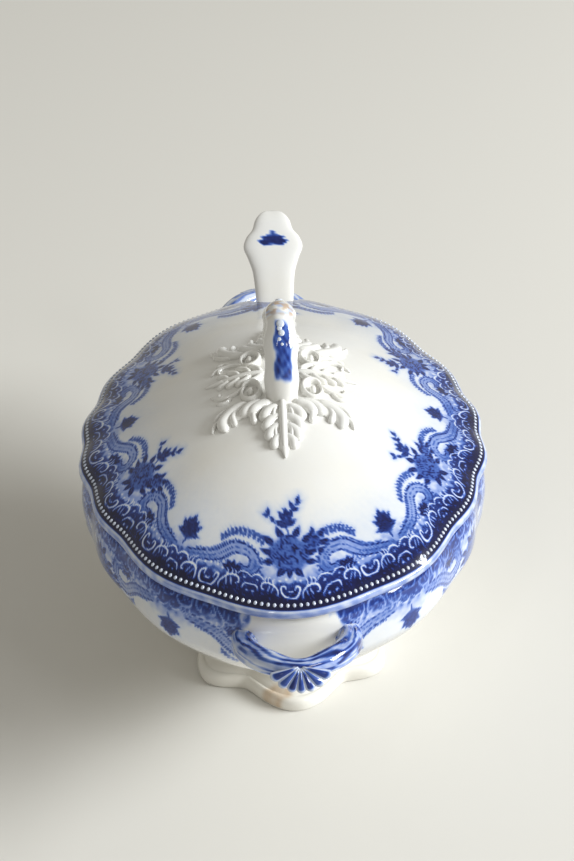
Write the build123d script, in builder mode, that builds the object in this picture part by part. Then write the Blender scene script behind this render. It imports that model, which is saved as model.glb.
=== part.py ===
"""Oval lidded tureen with its ladle, modelled as fourteen clay pieces.

All sizes are in millimetres. The long axis runs along Y, the front handle
points to -Y, the ladle leaves the lid at +Y and the foot stands on Z = 0.
"""
import math
import os

from build123d import *

os.makedirs("parts", exist_ok=True)

# ---- driving sizes ----
rim_half_x = 75.2            # lid edge, half of the short way
rim_half_y = 104.6           # lid edge, half of the long way
lobes_per_quarter = (0, 22.5, 46, 74)      # angles of the notches between lobes
foot_half_x = 42.0
foot_half_y = 53.2
foot_notches = (28, 67)      # angles of the notches of the foot, per quarter
foot_lobe_depth = 0.17
foot_turn = 2.6              # the foot sits slightly turned under the bowl
foot_height = 15.0
bowl_top = 80.6
bowl_wall = 5.0
front_turn = 1.0             # the hand-set handles sit slightly off the long axis, in degrees
back_turn = 1.8
bowl_floor = 19.5            # height of the inside floor
lid_bottom = 81.0
lid_lip_top = 83.6
lid_wall = 4.2
flange_inset = 8.0           # locating ring under the lid, inside its edge
flange_width = 2.6
flange_bottom = 74.5
notch_half_width = 10.0      # ladle opening in the lid edge
notch_depth = 17.0
relief_height = 1.6
finial_half_span = 15.5
finial_top = 143.0
cup_radius = 27.0
cup_centre_y = 10.0
cup_depth = 21.0
cup_wall = 2.8
cup_gap = 0.5                # between the ladle and the bowl floor

# height, shares of the rim's half sizes along X and Y, strength of the lobes
bowl_outside = (
    (foot_height, 0.36, 0.40, 0.0),
    (23.0, 0.46, 0.515, 0.0),
    (32.0, 0.60, 0.655, 0.1),
    (42.0, 0.77, 0.81, 0.2),
    (52.0, 0.92, 0.935, 0.4),
    (62.0, 1.002, 1.0, 0.6),
    (72.0, 1.005, 1.0, 0.9),
    (bowl_top, 0.985, 0.985, 1.0),
)
# shares of the rim's half sizes along X and Y, height, strength of the lobes
lid_outside = (
    (1.0, 1.0, lid_lip_top, 1.0),
    (0.940, 0.957, 87.2, 1.0),
    (0.814, 0.866, 91.6, 0.8),
    (0.66, 0.70, 97.2, 0.4),
    (0.48, 0.50, 103.6, 0.1),
    (0.31, 0.32, 108.6, 0.0),
    (0.15, 0.16, 112.2, 0.0),
)


def notch_angles(quarter):
    """All notch angles round the oval from those of one quarter."""
    angles = set()
    for angle in quarter:
        angles |= {angle, 180 - angle, (180 + angle) % 360, (360 - angle) % 360}
    return sorted(angles)


def oval_point(angle, half_x, half_y, swell):
    """Point on a slightly pointed oval, pushed outwards by the share swell."""
    turn = math.radians(angle)
    reach = 1 / math.hypot(math.cos(turn) / half_x, math.sin(turn) / half_y)
    reach *= (1 - 0.02 * math.sin(2 * turn) ** 2) * (1 + swell)
    return (reach * math.cos(turn), reach * math.sin(turn))


def lobed_face(half_x, half_y, wave, quarter=lobes_per_quarter, depth=0.02):
    """Fills a closed outline made of one shallow arc for each lobe."""
    angles = notch_angles(quarter)
    following = angles[1:] + [angles[0] + 360]
    with BuildLine() as outline:
        for first, last in zip(angles, following):
            ThreePointArc(
                oval_point(first, half_x, half_y, -0.4 * depth * wave),
                oval_point((first + last) / 2, half_x, half_y, 0.6 * depth * wave),
                oval_point(last, half_x, half_y, -0.4 * depth * wave),
            )
    make_face(outline.edges())


def inset_face(inset, wave):
    """Lobed outline a fixed distance inside the lid edge."""
    lobed_face(rim_half_x - inset, rim_half_y - inset, wave)


# ---- bowl ----
with BuildPart() as bowl_body:
    for height, share_x, share_y, wave in bowl_outside:
        with BuildSketch(Plane.XY.offset(height)):
            lobed_face(rim_half_x * share_x, rim_half_y * share_y, wave)
    loft()

with BuildPart() as bowl:
    add(bowl_body.part)
    with BuildSketch(Plane.XY.offset(bowl_floor)):
        lobed_face(rim_half_x * 0.28, rim_half_y * 0.34, 0)
    for height, share_x, share_y, wave in bowl_outside[1:]:
        level = bowl_top + 0.5 if height == bowl_top else height
        with BuildSketch(Plane.XY.offset(level)):
            lobed_face(rim_half_x * share_x - bowl_wall, rim_half_y * share_y - bowl_wall, wave)
    loft(mode=Mode.SUBTRACT)

# ---- pedestal foot: spreading lobed base, hollow underneath ----
waist_half_x = rim_half_x * bowl_outside[0][1] + 0.4
waist_half_y = rim_half_y * bowl_outside[0][2] + 0.4
# height, how far the foot has spread from its waist to its full size, strength of the lobes
foot_outside = ((3.6, 1.0, 1.0), (6.0, 0.66, 0.9), (9.5, 0.30, 0.5), (foot_height, 0.0, 0.1))
with BuildPart() as lobed_foot:
    with BuildSketch():
        lobed_face(foot_half_x, foot_half_y, 1.0, foot_notches, foot_lobe_depth)
    extrude(amount=foot_outside[0][0])
    for height, spread, wave in foot_outside:
        with BuildSketch(Plane.XY.offset(height)):
            half_x = waist_half_x + (foot_half_x - waist_half_x) * spread
            half_y = waist_half_y + (foot_half_y - waist_half_y) * spread
            lobed_face(half_x, half_y, wave, foot_notches, foot_lobe_depth)
    loft()

with BuildPart() as pedestal_foot:
    add(Rot(0, 0, foot_turn) * lobed_foot.part)
    with BuildSketch(Plane.XY):
        Ellipse(waist_half_x - 4, waist_half_y - 4)
    extrude(amount=foot_height - 5, mode=Mode.SUBTRACT)

# ---- side handles: flattened rod bent to a wide U ----
handle_path = (
    (17.0, -92, 65.0), (18.0, -104.8, 70.2), (15.0, -113.9, 72.3), (7.8, -121.0, 73.7), (0, -124.2, 74.3),
)
with BuildPart() as handle_rod:
    with BuildLine():
        right = [Vector(*point) for point in handle_path]
        left = [Vector(-point.X, point.Y, point.Z) for point in right[-2::-1]]
        rod = Spline(*right, *left)
    with BuildSketch(Plane(origin=rod @ 0, x_dir=(0, 0, 1), z_dir=rod % 0)):
        Ellipse(4.0, 4.5)
    sweep()

# ---- scallop shell on the middle of each handle ----
shell_centre = (0, -126.4, 76.4)
flute_count = 7
with BuildPart() as scallop:
    for number in range(flute_count):
        fan = (number - (flute_count - 1) / 2) * 24
        reach = 8.6 + 0.0006 * fan ** 2
        turn = math.radians(fan)
        drop = Vector(math.sin(turn), -0.62 * math.cos(turn), -0.78 * math.cos(turn))
        start = Plane(origin=shell_centre, z_dir=drop)
        with BuildSketch(start):
            Circle(1.5)
        with BuildSketch(start.offset(reach * 0.85)):
            Circle(2.5)
        with BuildSketch(start.offset(reach)):
            Circle(1.7)
        loft(ruled=True)
    add(handle_rod.part, mode=Mode.SUBTRACT)

# ---- both ends of the tureen ----
ends = {}
for end, turn in (("front", front_turn), ("back", 180 + back_turn)):
    with BuildPart() as ends[f"{end}_handle"]:
        add(Rot(0, 0, turn) * handle_rod.part)
        add(bowl_body.part, mode=Mode.SUBTRACT)
    with BuildPart() as ends[f"{end}_shell"]:
        add(Rot(0, 0, turn) * scallop.part)

# ---- lid ----
with BuildPart() as dome_body:
    for share_x, share_y, height, wave in lid_outside:
        with BuildSketch(Plane.XY.offset(height)):
            lobed_face(rim_half_x * share_x, rim_half_y * share_y, wave)
    loft()

with BuildPart() as lid:
    with BuildSketch(Plane.XY.offset(lid_bottom)):
        inset_face(0, 1.0)
    extrude(amount=lid_lip_top - lid_bottom)
    add(dome_body.part)
    with BuildSketch(Plane.XY.offset(flange_bottom)):
        inset_face(flange_inset, 0.5)
    extrude(amount=lid_lip_top - flange_bottom)
    hollow_inset = flange_inset + flange_width
    with BuildSketch(Plane.XY.offset(flange_bottom - 1)):
        inset_face(hollow_inset, 0.5)
    extrude(amount=84 - flange_bottom + 1, mode=Mode.SUBTRACT)
    with BuildSketch(Plane.XY.offset(84)):
        inset_face(hollow_inset, 0.5)
    for share_x, share_y, height, wave in lid_outside[2:]:
        with BuildSketch(Plane.XY.offset(height - lid_wall)):
            lobed_face(rim_half_x * share_x - 1.5, rim_half_y * share_y - 1.5, wave * 0.5)
    loft(mode=Mode.SUBTRACT)
    with BuildSketch(Plane.XY.offset(flange_bottom - 1)):
        notch_end = rim_half_y - notch_depth + notch_half_width
        with Locations((0, notch_end)):
            Circle(notch_half_width)
        with Locations((0, notch_end + 15)):
            Rectangle(2 * notch_half_width, 30)
    extrude(amount=30, mode=Mode.SUBTRACT)

# ---- loop finial, an arch standing along the long axis ----
with BuildPart() as lid_finial:
    with BuildLine():
        arch = Spline(
            (0, -finial_half_span, 105),
            (0, -finial_half_span, 118),
            (0, -10.5, 132),
            (0, 0, finial_top - 4.2),
            (0, 10.5, 132),
            (0, finial_half_span, 118),
            (0, finial_half_span, 105),
        )
    with BuildSketch(Plane(origin=arch @ 0, x_dir=(1, 0, 0), z_dir=arch % 0)):
        Ellipse(6.2, 4.2)
    sweep()
    add(dome_body.part, mode=Mode.SUBTRACT)

# ---- raised acanthus leaves round the finial, following the dome ----
with BuildPart() as raised_dome:
    add(Pos(0, 0, relief_height) * dome_body.part)
    add(dome_body.part, mode=Mode.SUBTRACT)


def leaf(start, length, spread, pairs):
    """Leaf outline along -Y: a rib with paired rounded side lobes."""
    with Locations((0, -(start + length) / 2)):
        Ellipse(spread * 0.24, (length - start) / 2)
    for number in range(pairs):
        along = -(start + (length - start) * (0.24 + 0.62 * number / pairs))
        wide = spread * (1 - 0.6 * number / pairs)
        for side in (-1, 1):
            with Locations(Location((side * wide * 0.42, along, 0), (0, 0, side * 48))):
                Ellipse(wide * 0.38, wide * 0.16)


relief_leaves = {}
for name, turn, start, length, spread in (
    ("left_leaf", -90, 0.5, 29, 22),
    ("right_leaf", 90, 0.5, 29, 22),
    ("front_leaf", 0, 17, 44, 22),
    ("back_leaf", 180, 17, 44, 22),
):
    with BuildPart() as relief:
        with BuildSketch(Plane(origin=(0, 0, 90), x_dir=Vector(1, 0, 0).rotate(Axis.Z, turn))):
            leaf(start, length, spread, 3)
        extrude(amount=35)
        add(raised_dome.part, mode=Mode.INTERSECT)
        add(lid_finial.part, mode=Mode.SUBTRACT)
        for done in relief_leaves.values():
            add(done.part, mode=Mode.SUBTRACT)
    relief_leaves[name] = relief

# ---- ladle cup ----
cup_bottom = bowl_floor + cup_gap
cup_rim = cup_bottom + cup_depth
cup_axis = Axis((0, cup_centre_y, 0), (0, 0, 1))


def half_cup(shrink):
    """Quarter ellipse in the YZ plane that turns into the cup."""
    rim_centre = (cup_centre_y, cup_rim)
    with BuildLine() as profile:
        EllipticalCenterArc(
            rim_centre, cup_radius - shrink, cup_depth - shrink, start_angle=270, arc_size=90
        )
        Line((cup_centre_y + cup_radius - shrink, cup_rim), rim_centre)
        Line(rim_centre, (cup_centre_y, cup_bottom + shrink))
    make_face(profile.edges())


with BuildPart() as cup_body:
    with BuildSketch(Plane.YZ):
        half_cup(0)
    revolve(axis=cup_axis)

with BuildPart() as ladle_bowl:
    add(cup_body.part)
    with BuildSketch(Plane.YZ):
        half_cup(cup_wall)
    revolve(axis=cup_axis, mode=Mode.SUBTRACT)

# ---- ladle handle: flat fiddle-shaped blade that leans out through the notch ----
blade_lean = 39
blade_start = (95.0, 84.0)             # along Y and height where it crosses the lid edge
# along Y, height, lean in degrees, thickness
blade_side = (
    (35.4, 37.4, 62, 4.6),
    (42.0, 45.6, 44, 5.2),
    (62.0, 59.8, 35, 5.4),
    (80.0, 72.2, 36.5, 5.4),
    (*blade_start, blade_lean, 5.2),
    (118.0, 102.6, blade_lean, 4.8),
    (129.4, 111.9, blade_lean, 3.8),
)
# distance along the blade, half of its width
blade_front = (
    (-80, 4.6), (-60, 5.3), (-36, 6.0), (-16, 6.8), (0, 7.4), (17, 8.5),
    (25.5, 11.2), (29.5, 12.2), (33, 11.0), (37, 7.9), (41, 6.6), (44, 4.2), (45.3, 0),
)
with BuildPart() as ladle_handle:
    upper, lower = [], []
    for along, height, lean, thick in blade_side:
        turn = math.radians(lean)
        normal = (-math.sin(turn) * thick / 2, math.cos(turn) * thick / 2)
        upper.append((along + normal[0], height + normal[1]))
        lower.append((along - normal[0], height - normal[1]))
    with BuildSketch(Plane.YZ):
        with BuildLine():
            Spline(*upper)
            Spline(*lower)
            Line(upper[0], lower[0])
            ThreePointArc(upper[-1], (130.4, 112.8), lower[-1])
        make_face()
    extrude(amount=14, both=True)
    turn = math.radians(blade_lean)
    face_plane = Plane(
        origin=(0, *blade_start),
        x_dir=(1, 0, 0),
        z_dir=(0, -math.sin(turn), math.cos(turn)),
    )
    with BuildSketch(face_plane):
        with BuildLine():
            half = Spline(*[(width, along) for along, width in blade_front])
            Line(half @ 0, (0, blade_front[0][0]))
            mirror(about=Plane.YZ)
        make_face()
    extrude(amount=45, both=True, mode=Mode.INTERSECT)
    add(cup_body.part, mode=Mode.SUBTRACT)

# ---- write one STEP file for each piece ----
pieces = {
    "bowl": bowl,
    "pedestal_foot": pedestal_foot,
    **ends,
    "lid": lid,
    "lid_finial": lid_finial,
    "front_leaf": relief_leaves["front_leaf"],
    "back_leaf": relief_leaves["back_leaf"],
    "left_leaf": relief_leaves["left_leaf"],
    "right_leaf": relief_leaves["right_leaf"],
    "ladle_bowl": ladle_bowl,
    "ladle_handle": ladle_handle,
}
for name, piece in pieces.items():
    piece.part.label = name
    export_step(piece.part, f"parts/{name}.step")
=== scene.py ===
"""Looks of the oval lidded tureen: glazed white ware with a flowing blue print.

Shapes are worked out in millimetres in the row frame, and turned into metres when a mesh is made.
Every printed surface gets two vertex attributes, "ink" (0 bare glaze, 1 full navy) and "stain",
which the glaze material turns into colour.
"""
import math
import random

import bmesh
import bpy
import numpy as np
from mathutils import Matrix, Vector


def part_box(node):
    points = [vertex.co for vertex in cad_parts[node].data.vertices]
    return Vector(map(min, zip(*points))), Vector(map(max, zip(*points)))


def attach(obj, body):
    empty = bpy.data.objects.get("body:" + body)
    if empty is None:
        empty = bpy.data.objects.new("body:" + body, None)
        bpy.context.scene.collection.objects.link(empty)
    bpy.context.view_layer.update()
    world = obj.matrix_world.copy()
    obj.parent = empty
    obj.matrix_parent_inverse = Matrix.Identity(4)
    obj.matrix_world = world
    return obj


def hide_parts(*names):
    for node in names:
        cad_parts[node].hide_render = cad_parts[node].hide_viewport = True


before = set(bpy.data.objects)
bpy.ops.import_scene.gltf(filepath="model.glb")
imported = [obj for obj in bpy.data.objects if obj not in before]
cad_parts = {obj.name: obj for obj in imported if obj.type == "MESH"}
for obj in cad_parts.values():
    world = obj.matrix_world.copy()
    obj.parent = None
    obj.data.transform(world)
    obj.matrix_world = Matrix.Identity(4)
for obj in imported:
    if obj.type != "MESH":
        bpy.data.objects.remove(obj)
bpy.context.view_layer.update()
MM = 0.001

# ---- driving sizes, from the frame ----
lid_low, lid_high = (np.array(corner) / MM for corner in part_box("lid"))
rim_half_x = lid_high[0] / 1.004
rim_half_y = -lid_low[1] / 1.0065
bowl_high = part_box("bowl")[1][2] / MM
foot_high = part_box("bowl")[0][2] / MM
lid_top = lid_high[2]
finial_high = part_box("lid_finial")[1][2] / MM
lip_bottom = bowl_high + 0.4
lip_top = lip_bottom + 2.6
notch_half_width = 10.0   # the ladle leaves the lid here
notch_depth = 17.0
notch_end = rim_half_y - notch_depth + notch_half_width
lid_wall = 4.2
cup_wall = 2.8
rim_columns = 1400        # points round the lid
sprays = 6                # bouquets round the rim
cartouches = 18           # repeats of the white scrollwork
bead_count = 250
bead_row = 2.6            # how far in from the edge the beads lie
border_start = 4.3        # where the dark bead band ends and the scrolled border begins

# shares of the rim half sizes along X and Y, height, strength of the lobes
lid_profile = np.array([
    (1.0, 1.0, lip_top, 1.0),
    (0.940, 0.957, 87.2, 1.0),
    (0.814, 0.866, 91.6, 0.8),
    (0.66, 0.70, 97.2, 0.4),
    (0.48, 0.50, 103.6, 0.1),
    (0.31, 0.32, 108.6, 0.0),
    (0.15, 0.16, lid_top, 0.0),
    (0.0, 0.0, lid_top + 1.1, 0.0),
])
# shares of the rim half sizes along X and Y, height, strength of the lobes, from the lip down
bowl_profile = np.array([
    (0.964, 0.972, bowl_high - 0.8, 1.0),
    (0.985, 0.987, 77.2, 0.95),
    (0.998, 0.997, 73.2, 0.9),
    (1.004, 1.000, 68.0, 0.75),
    (1.001, 0.998, 62.0, 0.6),
    (0.920, 0.935, 52.0, 0.4),
    (0.770, 0.810, 42.0, 0.2),
    (0.600, 0.655, 32.0, 0.1),
    (0.460, 0.515, 23.0, 0.0),
    (0.360, 0.400, foot_high, 0.0),
])
waist_half_x, waist_half_y = rim_half_x * 0.36 + 0.4, rim_half_y * 0.40 + 0.4
front_turn, back_turn = 1.0, 181.8       # the hand-set handles sit slightly off the long axis
foot_turn = 2.6                          # and so does the foot


# ---- small numeric helpers ----
def smooth(low, high, value):
    """0 below low, 1 above high, with an easy curve between."""
    t = np.clip((value - low) / (high - low), 0, 1)
    return t * t * (3 - 2 * t)


def curve(at, known, values):
    """Monotone cubic through the known points, for every column of values."""
    known, values = np.asarray(known, float), np.asarray(values, float)
    flat = values.ndim == 1
    values = values[:, None] if flat else values
    step = np.diff(known)[:, None]
    slope = np.diff(values, axis=0) / step
    inner = slope[:-1] * slope[1:]
    mean = (step[:-1] + step[1:]) * 3 / (
        (2 * step[1:] + step[:-1]) / np.where(inner > 0, slope[:-1], 1)
        + (step[1:] + 2 * step[:-1]) / np.where(inner > 0, slope[1:], 1)
    )
    tangent = np.vstack([slope[:1], np.where(inner > 0, mean, 0), slope[-1:]])
    at = np.clip(np.atleast_1d(at), known[0], known[-1])
    k = np.clip(np.searchsorted(known, at, side="right") - 1, 0, len(known) - 2)
    h = step[k]
    t = ((at - known[k])[:, None]) / h
    out = (
        (1 + 2 * t) * (1 - t) ** 2 * values[k] + t * (1 - t) ** 2 * h * tangent[k]
        + t * t * (3 - 2 * t) * values[k + 1] + t * t * (t - 1) * h * tangent[k + 1]
    )
    return out[:, 0] if flat else out


def run_length(steps):
    """Length run so far at both ends of every step."""
    return np.concatenate([[0], np.cumsum(steps)])


def path(points, count):
    """Smooth line through the points, with count places evenly spread along it."""
    points = np.asarray(points, float)
    along = run_length(np.linalg.norm(np.diff(points, axis=0), axis=1))
    fine = np.linspace(0, along[-1], 400)
    k = np.clip(np.searchsorted(along, fine, side="right") - 1, 0, len(points) - 2)
    h = (along[k + 1] - along[k])[:, None]
    t = (fine - along[k])[:, None] / h
    tangents = np.gradient(points, along, axis=0) if len(points) > 2 else np.diff(points, axis=0) / h[0]
    tangents = np.broadcast_to(tangents, points.shape)
    line = (
        (1 + 2 * t) * (1 - t) ** 2 * points[k] + t * (1 - t) ** 2 * h * tangents[k]
        + t * t * (3 - 2 * t) * points[k + 1] + t * t * (t - 1) * h * tangents[k + 1]
    )
    length = run_length(np.linalg.norm(np.diff(line, axis=0), axis=1))
    even = np.linspace(0, length[-1], count)
    return np.stack([np.interp(even, length, line[:, i]) for i in range(points.shape[1])], 1)


# ---- the lobed oval shared by lid, bowl and foot ----
def notches(quarter):
    """Angles where two lobes meet, mirrored from those of one quarter."""
    angles = set()
    for angle in quarter:
        angles |= {angle, 180 - angle, (180 + angle) % 360, (360 - angle) % 360}
    return np.radians(sorted(angles) + [360 + min(angles)])


rim_notches = notches((0, 22.5, 46, 74))
foot_notches = notches((28, 67))


def reach(turn, half_x, half_y, wave, between=rim_notches, depth=0.023, middle=0.49):
    """Distance from the centre to the lobed outline at the angle turn.

    depth is how far a lobe stands out from its notch, and middle is the share of it inside the oval.
    """
    turn = np.mod(turn - between[0], 2 * np.pi) + between[0]
    k = np.clip(np.searchsorted(between, turn, side="right") - 1, 0, len(between) - 2)
    part = (turn - between[k]) / (between[k + 1] - between[k])
    bulge = 0.5 * np.sqrt(np.sin(np.pi * part) ** 2 + 0.04) + 0.5 * np.sin(np.pi * part) ** 2
    oval = 1 / np.hypot(np.cos(turn) / np.maximum(half_x, 1e-3), np.sin(turn) / np.maximum(half_y, 1e-3))
    return oval * (1 - 0.02 * np.sin(2 * turn) ** 2) * (1 + depth * wave * (bulge - middle))


def even_turns(half_x, half_y, columns, **lobing):
    """Angles that split the outline into equal lengths, starting at +X, and the angle to length table."""
    turn = np.linspace(0, 2 * np.pi, 7201)
    r = reach(turn, half_x, half_y, 1.0, **lobing)
    length = run_length(np.hypot(np.diff(r * np.cos(turn)), np.diff(r * np.sin(turn))))
    return np.interp(np.linspace(0, length[-1], columns, endpoint=False), length, turn), turn, length


rim_turns, rim_table, rim_length = even_turns(rim_half_x, rim_half_y, rim_columns)
rim_round = rim_length[-1]


def ring(columns, half_x, half_y, height, wave, turns=rim_turns, **lobing):
    """One level of an oval shell: columns points at one height."""
    turn = turns[:: len(turns) // columns]
    r = reach(turn, half_x, half_y, wave, **lobing)
    return np.stack([r * np.cos(turn), r * np.sin(turn), np.full(columns, float(height))], 1)


# ---- mesh helpers ----
def make_object(name, points, faces, smooth_shade=True):
    """Object from points in millimetres, with its faces turned outwards."""
    mesh = bpy.data.meshes.new(name)
    mesh.from_pydata((np.asarray(points) * MM).tolist(), [], faces)
    work = bmesh.new()
    work.from_mesh(mesh)
    bmesh.ops.recalc_face_normals(work, faces=work.faces)
    work.to_mesh(mesh)
    work.free()
    mesh.polygons.foreach_set("use_smooth", [smooth_shade] * len(mesh.polygons))
    obj = bpy.data.objects.new(name, mesh)
    bpy.context.collection.objects.link(obj)
    return obj


def skin_faces(counts, start=0):
    """Faces between rings of the given counts: equal, doubled, halved or a single point."""
    faces, first = [], start
    for a, b in zip(counts, counts[1:]):
        second = first + a
        if a == b:
            faces += [(first + i, first + (i + 1) % a, second + (i + 1) % a, second + i) for i in range(a)]
        elif a == 1:
            faces += [(first, second + i, second + (i + 1) % b) for i in range(b)]
        elif b == 1:
            faces += [(first + i, first + (i + 1) % a, second) for i in range(a)]
        else:
            few, many, n = (second, first, b) if a > b else (first, second, a)
            for i in range(n):
                left, mid, right = many + 2 * i, many + 2 * i + 1, many + (2 * i + 2) % (2 * n)
                near, far = few + i, few + (i + 1) % n
                faces += [(left, mid, near), (mid, right, far), (near, mid, far)]
        first = second
    return faces


def skin(name, rings):
    """Closed surface through a list of rings. Open ends are closed at their middle."""
    if len(rings[0]) > 1:
        rings = [rings[0].mean(axis=0, keepdims=True)] + rings
    if len(rings[-1]) > 1:
        rings = rings + [rings[-1].mean(axis=0, keepdims=True)]
    return make_object(name, np.vstack(rings), skin_faces([len(r) for r in rings]))


def join_parts(name, parts):
    """One object from several (points, faces) pairs."""
    points, faces, offset = [], [], 0
    for part_points, part_faces in parts:
        points.append(part_points)
        faces += [tuple(i + offset for i in face) for face in part_faces]
        offset += len(part_points)
    return make_object(name, np.vstack(points), faces)


def swept(centres, across, normals, widths, heights, sides=16, shape=None):
    """Points and faces of a closed rod: an ellipse carried along centres."""
    turn = np.linspace(0, 2 * np.pi, sides, endpoint=False)
    modulation = np.ones(sides) if shape is None else shape(turn)
    rings = [
        c + np.outer(np.cos(turn) * modulation * w, a) + np.outer(np.sin(turn) * modulation * h, n)
        for c, a, n, w, h in zip(centres, across, normals, widths, heights)
    ]
    rings = [centres[:1]] + rings + [centres[-1:]]
    return np.vstack(rings), skin_faces([len(r) for r in rings])


def rod_frames(centres, up):
    """Sideways and upward unit vectors along a line, up leaning towards the given vectors."""
    forward = np.gradient(centres, axis=0)
    forward /= np.linalg.norm(forward, axis=1, keepdims=True)
    across = np.cross(forward, up)
    across /= np.linalg.norm(across, axis=1, keepdims=True)
    return across, np.cross(across, forward)


def set_attribute(obj, name, values):
    """Stores one number for each vertex."""
    layer = obj.data.attributes.new(name, "FLOAT", "POINT")
    layer.data.foreach_set("value", np.asarray(values, np.float32))


def bare_ends(values):
    """Values for a closed rod or fan, with 0 for the middle point that closes each end."""
    return np.concatenate([[0], values, [0]])


def positions(obj):
    """The vertices of an object, in millimetres."""
    flat = np.empty(len(obj.data.vertices) * 3, np.float32)
    obj.data.vertices.foreach_get("co", flat)
    return flat.reshape(-1, 3).astype(float) / MM


# ---- drawing the print ----
class Print:
    """Ink laid on points given as x along the rim and v away from it, in millimetres."""

    def __init__(self, x, v):
        self.x, self.v = x, v
        self.ink = np.zeros(len(x))
        self.halo = np.zeros(len(x))
        self.white = np.zeros(len(x))

    def near(self, cx, cy, size):
        """Numbers of the points that a mark around cx, cy can reach."""
        return np.nonzero((np.abs(self.x - cx) < size) & (np.abs(self.v - cy) < size))[0]

    def dot(self, cx, cy, rx, ry=None, lean=0.0, strength=0.8, soft=0.35):
        """Oval spot."""
        ry = rx if ry is None else ry
        k = self.near(cx, cy, max(rx, ry) + 4.5)
        if not len(k):
            return
        c, s = math.cos(lean), math.sin(lean)
        dx, dy = self.x[k] - cx, self.v[k] - cy
        a, b = (dx * c + dy * s) / rx, (-dx * s + dy * c) / ry
        gap = (np.hypot(a, b) - 1) * min(rx, ry)
        value = strength * (1 - smooth(-soft, soft, gap))
        self.ink[k] = np.maximum(self.ink[k], value)
        self.halo[k] = np.maximum(self.halo[k], 0.2 * strength * np.exp(-np.maximum(gap, 0) / 1.5))

    def line(self, points, wide, strength=0.8, white=False, soft=0.22, count=14, taper=True):
        """Stroke that narrows towards both ends, in ink or left white."""
        p = path(points, count)
        low, high = p.min(axis=0) - 3.5, p.max(axis=0) + 3.5
        k = np.nonzero(
            (self.x > low[0]) & (self.x < high[0]) & (self.v > low[1]) & (self.v < high[1])
        )[0]
        if not len(k):
            return
        q = np.stack([self.x[k], self.v[k]], 1)
        best, place = np.full(len(k), 99.0), np.zeros(len(k))
        for i in range(count - 1):
            a, d = p[i], p[i + 1] - p[i]
            t = np.clip(((q - a) @ d) / max(d @ d, 1e-9), 0, 1)
            gap = np.hypot(*(q - a - t[:, None] * d).T)
            closer = gap < best
            best[closer], place[closer] = gap[closer], (i + t[closer]) / (count - 1)
        half = wide / 2 * (0.35 + 0.65 * np.sin(np.pi * np.clip(place, 0.02, 0.98)) ** 0.5 if taper else 1)
        value = strength * (1 - smooth(-soft, soft, best - half))
        if white:
            self.white[k] = np.maximum(self.white[k], value)
        else:
            self.ink[k] = np.maximum(self.ink[k], value)
            blur = 0.16 * strength * np.exp(-np.maximum(best - half, 0) / 1.2)
            self.halo[k] = np.maximum(self.halo[k], blur)

    def leaf(self, cx, cy, length, wide, lean, strength=0.9, soft=0.28):
        """Pointed leaf that starts at cx, cy, with a paler midrib."""
        k = self.near(cx, cy, length + 2.5)
        if not len(k):
            return
        c, s = math.cos(lean), math.sin(lean)
        dx, dy = self.x[k] - cx, self.v[k] - cy
        a, b = (dx * c + dy * s) / length, np.abs(-dx * s + dy * c)
        t = np.clip(a, 0, 1)
        half = wide / 2 * np.sin(np.pi * t ** 0.75) * (1 - 0.25 * t)
        gap = b - half + np.maximum(np.maximum(-a, a - 1), 0) * length
        value = strength * (1 - smooth(-soft, soft, gap)) * (1 - 0.22 * np.exp(-(b / 0.22) ** 2))
        self.ink[k] = np.maximum(self.ink[k], value)
        self.halo[k] = np.maximum(self.halo[k], 0.24 * strength * np.exp(-np.maximum(gap, 0) / 1.5))

    def rose(self, cx, cy, r, strength=0.75):
        """Open flower: a mid-blue disc with dark curling petal edges and pale petal tips."""
        self.dot(cx, cy, r, r * 0.94, 0, strength * 0.60, 0.4)
        for share, begin, sweep in (
            (0.86, 0.3, 1.7), (0.86, 2.5, 1.5), (0.84, 4.4, 1.5),
            (0.58, 1.3, 2.2), (0.58, 4.0, 2.0), (0.30, 0.2, 3.6),
        ):
            turns = begin + cx + np.linspace(0, sweep, 6)
            arc = [(cx + share * r * math.cos(a), cy + share * r * 0.92 * math.sin(a)) for a in turns]
            self.line(arc, max(r * 0.19, 0.5), strength * 1.2, count=9)
        self.dot(cx, cy, r * 0.16, strength=strength * 1.2, soft=0.25)


def offset(points, distance):
    """The same line moved sideways."""
    ahead = np.gradient(points, axis=0)
    ahead /= np.maximum(np.linalg.norm(ahead, axis=1, keepdims=True), 1e-9)
    return points + distance * np.stack([-ahead[:, 1], ahead[:, 0]], 1)


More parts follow.
